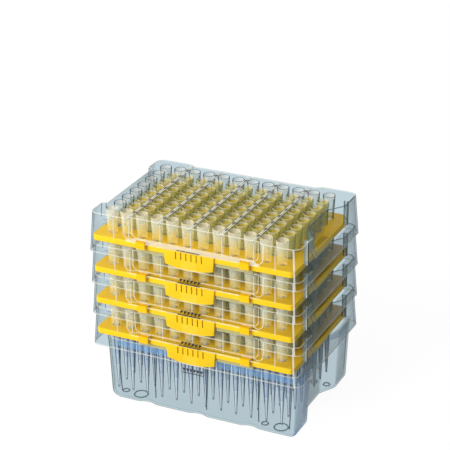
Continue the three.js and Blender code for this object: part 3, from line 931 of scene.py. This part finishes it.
def clear_material(name, tint, face, rim, strengths, turn, gloss=0.3):
    """Clear plastic. Light goes straight through it, tinted a little at every surface.

    Where it faces the eye it shows the colour `face` with the first strength, and where it turns
    away it shows `rim` with the second one. `turn` says where, from 0 (facing) to 1 (edge on).
    """
    material, tree, output = new_material(name)
    link = tree.links.new
    low, high = strengths
    weight = add_node(tree, "ShaderNodeLayerWeight", Blend=0.5)
    turned = tree.nodes.new("ShaderNodeMapRange")
    turned.interpolation_type = "SMOOTHSTEP"
    turned.inputs["From Min"].default_value, turned.inputs["From Max"].default_value = turn
    link(weight.outputs["Facing"], turned.inputs["Value"])
    through = add_node(tree, "ShaderNodeBsdfTransparent", Color=(*tint, 1))
    solid = add_node(tree, "ShaderNodeBsdfPrincipled", Roughness=0.2, Specular_IOR_Level=gloss)
    link(mix_colours(tree, turned.outputs["Result"], rgb(*face), rgb(*rim)), solid.inputs["Base Color"])
    add_bump(tree, solid, scale=90.0, strength=0.04, distance=0.0004)
    # real clear plastic bends light more than it blocks it, so its shadow is thinner than its look
    path = tree.nodes.new("ShaderNodeLightPath")
    thinner = math_node(tree, "MULTIPLY_ADD", path.outputs["Is Shadow Ray"], SHADOW_SHARE - 1, 1.0)
    strength = math_node(tree, "MULTIPLY_ADD", turned.outputs["Result"], high - low, low)
    show_mix(tree, output, math_node(tree, "MULTIPLY", strength, thinner), through, solid)
    return material


def opaque_material(name, first, second, scale=60.0, detail=3.0, roughness=0.38, gloss=0.2, grain=True):
    """Plastic or ink whose colour drifts between two tones. Moulded plastic has a fine grain too."""
    material, tree, output = new_material(name)
    solid = add_node(tree, "ShaderNodeBsdfPrincipled", Roughness=roughness, Specular_IOR_Level=gloss)
    colour = mix_colours(tree, noise(tree, scale, detail), rgb(*first), rgb(*second))
    tree.links.new(colour, solid.inputs["Base Color"])
    if grain:
        add_bump(tree, solid, scale=2500.0, strength=0.12, distance=0.0001)
    tree.links.new(solid.outputs[0], output.inputs["Surface"])
    return material


# What clear_material takes after the name; a look that ends with `turn` has the usual gloss.
CLEAR_LOOKS = {
    "clear_wall": ((0.984, 0.989, 0.991), (140, 166, 166), (70, 108, 118), (0.006, 0.8), (0.47, 0.97), 0.1),
    "clear_base": ((0.957, 0.962, 0.964), (140, 166, 172), (70, 108, 118), (0.006, 0.8), (0.5, 1.0), 0.1),
    # painted blue shade from the shaded tips behind the base box's wall
    "clear_blue_shade": ((0.95, 0.975, 0.995), (130, 176, 222), (66, 124, 190), (0.4, 0.62), (0.4, 0.9)),
    "clear_panel": ((0.96, 0.975, 0.975), (172, 194, 196), (110, 138, 142), (0.28, 0.5), (0.4, 0.9)),
    # painted light on the top tray's front ledge
    "clear_ledge_painted_light": ((0.985, 0.985, 0.98), (246, 248, 244), (246, 250, 250), (0.44, 0.62), (0.3, 0.7)),
    "clear_corner": ((0.978, 0.986, 0.988), (24, 50, 60), (24, 50, 60), (0.006, 0.92), (0.58, 0.86), 0.1),
    # a painted highlight on rims, lips, ledge lines and latch windows
    "clear_edge_highlight": ((0.97, 0.98, 0.98), (255, 252, 240), (210, 222, 222), (0.36, 0.66), (0.5, 1.0)),
    # a painted highlight on the beads and the front post
    "clear_bead_highlight": ((0.97, 0.98, 0.98), (255, 254, 246), (250, 248, 238), (0.9, 0.95), (0.5, 1.0)),
    # a painted highlight on the ribs, the notch corners of the long walls and the front right corner
    "clear_rib_highlight": ((0.97, 0.98, 0.98), (255, 252, 244), (196, 208, 206), (0.34, 0.6), (0.4, 0.9)),
    # painted shade in the dashes on the cross ribs, and a painted dark reflection at every mouth
    "painted_dark_mark": ((0.4, 0.46, 0.46), (16, 20, 18), (20, 26, 24), (0.9, 0.97), (0.5, 1.0)),
    # painted dark reflections on edges, uprights, ridges, posts and mouths
    "painted_dark_line": ((0.8, 0.86, 0.88), (40, 66, 76), (22, 44, 56), (0.6, 0.95), (0.3, 0.9)),
    # olive: painted shade with the plates' yellow in it
    "tip_collar_painted_shade": ((0.966, 0.968, 0.92), (176, 176, 124), (84, 96, 66), (0.3, 0.66), (0.4, 0.8)),
    # the front row, whiter with painted light and yellower towards the plate
    "tip_front_painted_light": ((0.985, 0.985, 0.97), (238, 236, 210), (255, 255, 246), (0.3, 0.52), (0.35, 0.8)),
    "tip_waist_painted_light": ((0.985, 0.985, 0.965), (250, 240, 200), (255, 253, 236), (0.27, 0.46), (0.35, 0.8)),
    "tip_foot_painted_light": ((0.985, 0.985, 0.96), (254, 236, 160), (255, 250, 216), (0.19, 0.36), (0.35, 0.8)),
    # painted dark outlines on the tips at the back and the left
    "tip_rear_painted_dark": ((0.97, 0.98, 0.975), (196, 212, 208), (30, 48, 50), (0.08, 0.9), (0.34, 0.66)),
    "tip_body": ((0.98, 0.98, 0.97), (236, 236, 230), (190, 190, 176), (0.1, 0.4), (0.4, 0.9)),
    # the lowest tips, in painted blue shade that is bluest near the plate
    "tip_upper": ((0.975, 0.985, 0.995), (206, 224, 244), (58, 92, 132), (0.4, 0.86), (0.24, 0.5)),
    "tip_middle": ((0.98, 0.99, 0.998), (224, 236, 250), (48, 82, 118), (0.54, 0.9), (0.24, 0.48)),
    "tip_needle": ((0.98, 0.99, 0.998), (242, 250, 255), (42, 74, 106), (0.68, 0.95), (0.24, 0.48)),
    "tip_end": ((0.9, 0.94, 0.96), (206, 220, 228), (34, 58, 84), (0.6, 0.95), (0.14, 0.36)),
    "tip_mouth": ((0.9, 0.92, 0.86), (226, 222, 186), (90, 96, 70), (0.42, 0.8), (0.6, 0.95)),
    # a painted reflection of the plate's yellow in the bores of the inner tips
    "tip_plate_reflection": ((0.99, 0.96, 0.7), (240, 206, 78), (216, 180, 62), (0.36, 0.55), (0.4, 1.0)),
    "tip_pale": ((0.985, 0.98, 0.98), (250, 240, 232), (206, 200, 190), (0.25, 0.45), (0.4, 1.0)),
}
# The two tones that the colour drifts between.
OPAQUE_LOOKS = {
    "yellow_plastic": ((252, 203, 20), (252, 211, 32)),
    "yellow_latch": ((254, 190, 8), (255, 200, 14)),
    # the deck's top face, with painted shade
    "yellow_deck_painted_shade": ((234, 188, 36), (244, 198, 46)),
    # the seat pads, olive with painted shade
    "pad_painted_shade": ((182, 174, 116), (192, 184, 128)),
    # the sides of the tongue's slots, with painted shade
    "slot_painted_shade": ((226, 164, 22), (234, 174, 30)),
    "yellow_studs": ((254, 222, 62), (254, 230, 90)),
}
MATERIALS = {name: clear_material(name, *look) for name, look in CLEAR_LOOKS.items()}
MATERIALS.update({name: opaque_material(name, *look) for name, look in OPAQUE_LOOKS.items()})
INK = opaque_material("dark_ink", (24, 22, 20), (44, 40, 34), scale=800.0, detail=2.0, roughness=0.5,
                      gloss=0.5, grain=False)


def looks(*names):
    return [MATERIALS[name] for name in names]


# The looks of each kind of piece, in the order of its material slots.
CLEAR = looks("clear_wall", "clear_edge_highlight", "clear_rib_highlight", "painted_dark_mark", "painted_dark_line", "painted_dark_line",
              "clear_corner", "clear_bead_highlight", "clear_panel", "clear_blue_shade", "clear_wall")
# The top tray has painted light: a painted highlight at its back right corner, where the others have a
# painted dark reflection, and a lit front ledge.
CLEAR_TOP = [*CLEAR[:REAR], *looks("clear_rib_highlight"), *CLEAR[REAR + 1:LEDGE], *looks("clear_ledge_painted_light")]
TIP = looks("tip_collar_painted_shade", "tip_front_painted_light", "tip_waist_painted_light", "tip_foot_painted_light", "tip_rear_painted_dark", *["tip_body"] * 4,
            "tip_mouth", "painted_dark_line", "painted_dark_mark", "tip_plate_reflection", "tip_pale")
# The lowest tips stand in the base box, in painted blue shade that is bluest near the plate.
TIP_LOWEST = [*TIP[:UPPER], *looks("tip_upper", "tip_middle", "tip_needle", "tip_end"), *TIP[END + 1:]]
RACK = looks("yellow_plastic", "yellow_latch", "yellow_deck_painted_shade", "slot_painted_shade", "yellow_studs", "pad_painted_shade")

# ---- the stack ----
tray, plate, tips = build_tray(), build_plate(), build_tips()
for layer, top in enumerate(LAYER_TOPS, start=1):
    shell = make_object(f"clear_tray_{layer}", moved(tray, z=top), CLEAR if layer > 1 else CLEAR_TOP)
    finish_piece(shell, "clear_plastic", f"tray_{layer}")
    rack = make_object(f"yellow_plate_{layer}", moved(plate, z=top), RACK)
    finish_piece(rack, "yellow_plastic", f"rack_plate_{layer}")
    filling = make_object(f"tips_{layer}", moved(tips, z=top), TIP if layer < LAYERS else TIP_LOWEST)
    finish_piece(filling, "tip_plastic", *[tip_node(layer, c) for c in range(COLUMNS)])

box = make_object("clear_base_box", build_base(), [*looks("clear_base"), *CLEAR[EDGE:]])
finish_piece(box, "clear_plastic", "base_box")

for layer, top in enumerate(LAYER_TOPS, start=1):
    add_mark(f"press_mark_{layer}", ledge_place(top), layer > 1)
add_mark("press_mark_base", wall_place(BASE_TOP - MARK_DROP))


# ---- stage, light and camera ----
WHITE = (1.0, 1.0, 1.0, 1.0)
BEHIND = rgb(197, 214, 221)            # what the eye sees behind clear parts
FLOOR_HALF, FLOOR_DROP, FLOOR_GREY = 6.0, 0.0002, (0.45, 0.45, 0.45, 1.0)
FLOOR_WHITE = 0.72        # share of the floor's look that no shadow darkens
FLOOR_LEVEL = 1.28        # its level, which brings the lit and the plain share together to white
AMBIENT_DARK, AMBIENT_BRIGHT = 0.0, 0.9
AMBIENT_FROM = (-0.85, -0.38, 0.36)    # where most of the soft light comes from


def seen_through(tree):
    """A socket that is 1 where the eye looks through a clear part, and 0 elsewhere."""
    path = tree.nodes.new("ShaderNodeLightPath")
    return math_node(tree, "GREATER_THAN", path.outputs["Transparent Depth"], 0.5)


def sight_rays(tree):
    """A socket that is 1 for camera, glossy and transmission rays, and 0 for the rest."""
    path = tree.nodes.new("ShaderNodeLightPath")
    total = path.outputs["Is Camera Ray"]
    for name in ("Is Glossy Ray", "Is Transmission Ray"):
        total = math_node(tree, "MAXIMUM", total, path.outputs[name])
    return total


def white_stage():
    """A pale floor. It keeps the shadow, is white to the eye, and grey-blue behind clear parts."""
    material, tree, output = new_material("pale_floor")
    link = tree.links.new
    lit = add_node(tree, "ShaderNodeBsdfDiffuse", Color=FLOOR_GREY)
    plain = tree.nodes.new("ShaderNodeEmission")
    behind = seen_through(tree)
    link(math_node(tree, "MULTIPLY_ADD", behind, 1 - FLOOR_LEVEL, FLOOR_LEVEL), plain.inputs["Strength"])
    link(mix_colours(tree, behind, WHITE, BEHIND), plain.inputs["Color"])
    share = math_node(tree, "MULTIPLY_ADD", behind, 1 - FLOOR_WHITE, FLOOR_WHITE)
    show_mix(tree, output, math_node(tree, "MULTIPLY", sight_rays(tree), share), lit, plain)
    half = FLOOR_HALF
    corners = [(-half, -half, 0), (half, -half, 0), (half, half, 0), (-half, half, 0)]
    mesh = bpy.data.meshes.new("floor")
    mesh.from_pydata(corners, [], [(0, 1, 2, 3)])
    mesh.materials.append(material)
    floor = bpy.data.objects.new("floor", mesh)
    floor.location.z = -FLOOR_DROP
    bpy.context.scene.collection.objects.link(floor)


def surround():
    """Soft light, brightest from the left, and a plain background."""
    world = bpy.data.worlds.new("studio")
    bpy.context.scene.world = world
    world.use_nodes = True
    tree = world.node_tree
    tree.nodes.clear()
    link = tree.links.new
    output = tree.nodes.new("ShaderNodeOutputWorld")
    soft = add_node(tree, "ShaderNodeBackground", Color=WHITE)
    direction = tree.nodes.new("ShaderNodeTexCoord")
    toward = tree.nodes.new("ShaderNodeVectorMath")
    toward.operation = "DOT_PRODUCT"
    toward.inputs[1].default_value = AMBIENT_FROM
    level = tree.nodes.new("ShaderNodeMapRange")
    level.inputs["From Min"].default_value, level.inputs["From Max"].default_value = -1.0, 1.0
    level.inputs["To Min"].default_value = AMBIENT_DARK
    level.inputs["To Max"].default_value = AMBIENT_BRIGHT
    link(direction.outputs["Generated"], toward.inputs[0])
    link(toward.outputs["Value"], level.inputs["Value"])
    link(level.outputs["Result"], soft.inputs["Strength"])
    seen = add_node(tree, "ShaderNodeBackground", Strength=1.0)
    link(mix_colours(tree, seen_through(tree), WHITE, BEHIND), seen.inputs["Color"])
    show_mix(tree, output, sight_rays(tree), soft, seen)


def area_light(name, place, target, size, energy):
    data = bpy.data.lights.new(name, "AREA")
    data.shape, data.size, data.energy = "DISK", size, energy
    lamp = bpy.data.objects.new(name, data)
    lamp.location = place
    lamp.rotation_euler = (Vector(target) - Vector(place)).to_track_quat("-Z", "Y").to_euler()
    bpy.context.scene.collection.objects.link(lamp)


def camera():
    """Looks at the stack from the front right and above, with a long lens."""
    azimuth, elevation, roll = (math.radians(a) for a in (25.61, 24.44, -0.65))
    distance, lens = 0.9183, 136.27
    target = Vector((-0.00025, 0, 0.0988))
    back = Vector((math.sin(azimuth) * math.cos(elevation), -math.cos(azimuth) * math.cos(elevation),
                   math.sin(elevation)))
    right = Vector((math.cos(azimuth), math.sin(azimuth), 0))
    up = back.cross(right)
    turned_right = math.cos(roll) * right + math.sin(roll) * up
    turned_up = math.cos(roll) * up - math.sin(roll) * right
    data = bpy.data.cameras.new("camera")
    data.lens, data.sensor_width = lens, 36.0
    data.clip_start, data.clip_end = 0.01, 20.0
    shot = bpy.data.objects.new("camera", data)
    bpy.context.scene.collection.objects.link(shot)
    axes = Matrix((turned_right, turned_up, back)).transposed().to_4x4()
    shot.matrix_world = Matrix.Translation(target + back * distance) @ axes
    bpy.context.scene.camera = shot


white_stage()
surround()
area_light("key", place=(-0.5, -1.0, 0.6), target=(0, 0, 0.06), size=0.7, energy=13.0)
camera()

scene = bpy.context.scene
scene.view_settings.view_transform = "Standard"
scene.cycles.transparent_max_bounces = 160     # a line of sight crosses many clear walls
scene.cycles.max_bounces = 8
